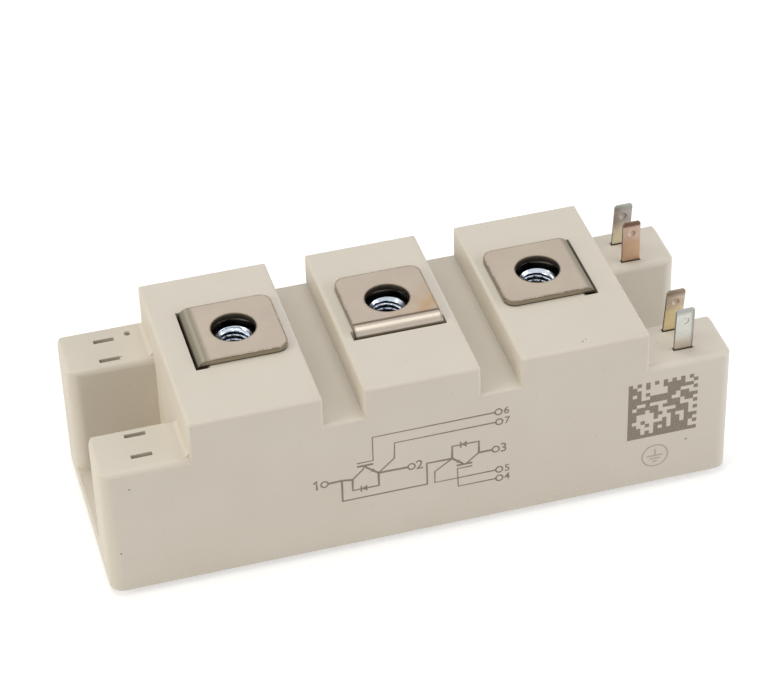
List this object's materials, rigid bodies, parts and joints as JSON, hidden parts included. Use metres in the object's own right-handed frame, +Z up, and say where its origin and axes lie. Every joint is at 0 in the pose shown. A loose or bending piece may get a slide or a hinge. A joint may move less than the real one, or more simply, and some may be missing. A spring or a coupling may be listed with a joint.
{
  "type": "igbt module",
  "caption": "Half-bridge power transistor module: flat moulded housing on a metal baseplate, screw terminals on raised blocks, push-on control tabs and a screw recess at each end.",
  "frame": {"origin": "centre of the underside of the baseplate", "axes": "+X along the module towards the control tabs, +Y across it towards the back, +Z up out of the cooling face"},
  "size_m": [0.094, 0.034, 0.03],
  "materials": {
    "housing": "moulded cream polyester, fine satin grain",
    "baseplate": "nickel-plated copper, satin",
    "seal": "cured silicone adhesive",
    "busbar": "nickel-plated copper sheet, warm grey, slightly worn",
    "nut": "blue zinc plated steel",
    "tab_grey": "tinned, dull",
    "tab_copper": "copper showing through the plating",
    "tab_gold": "pale gold tarnish",
    "tab_silver": "tinned, bright",
    "solder": "dull solder",
    "copper": "bare copper",
    "ceramic": "white alumina",
    "igbt_chip": "metallised silicon",
    "diode_chip": "metallised silicon",
    "wire": "drawn aluminium",
    "gel": "clear soft silicone"
  },
  "bodies": {
    "root": {"baseplate": "baseplate", "seal": "seal", "housing": "housing", "phase_terminal": "busbar", "negative_terminal": "busbar", "positive_terminal": "busbar", "phase_nut": "nut", "negative_nut": "nut", "positive_nut": "nut", "gate_tab_high": "tab_grey", "emitter_tab_high": "tab_copper", "emitter_tab_low": "tab_gold", "gate_tab_low": "tab_silver", "substrate_solder_low": "solder", "substrate_solder_high": "solder", "lower_copper_low": "copper", "lower_copper_high": "copper", "ceramic_low": "ceramic", "ceramic_high": "ceramic", "tracks_low": "copper", "tracks_high": "copper", "chip_solder_low": "solder", "chip_solder_high": "solder", "igbt_low_a": "igbt_chip", "igbt_low_b": "igbt_chip", "igbt_high_a": "igbt_chip", "igbt_high_b": "igbt_chip", "diode_low_a": "diode_chip", "diode_low_b": "diode_chip", "diode_high_a": "diode_chip", "diode_high_b": "diode_chip", "emitter_wires_low": "wire", "emitter_wires_high": "wire", "link_wires": "wire", "signal_wires_low": "wire", "signal_wires_high": "wire", "gel": "gel"}
  },
  "joints": []
}
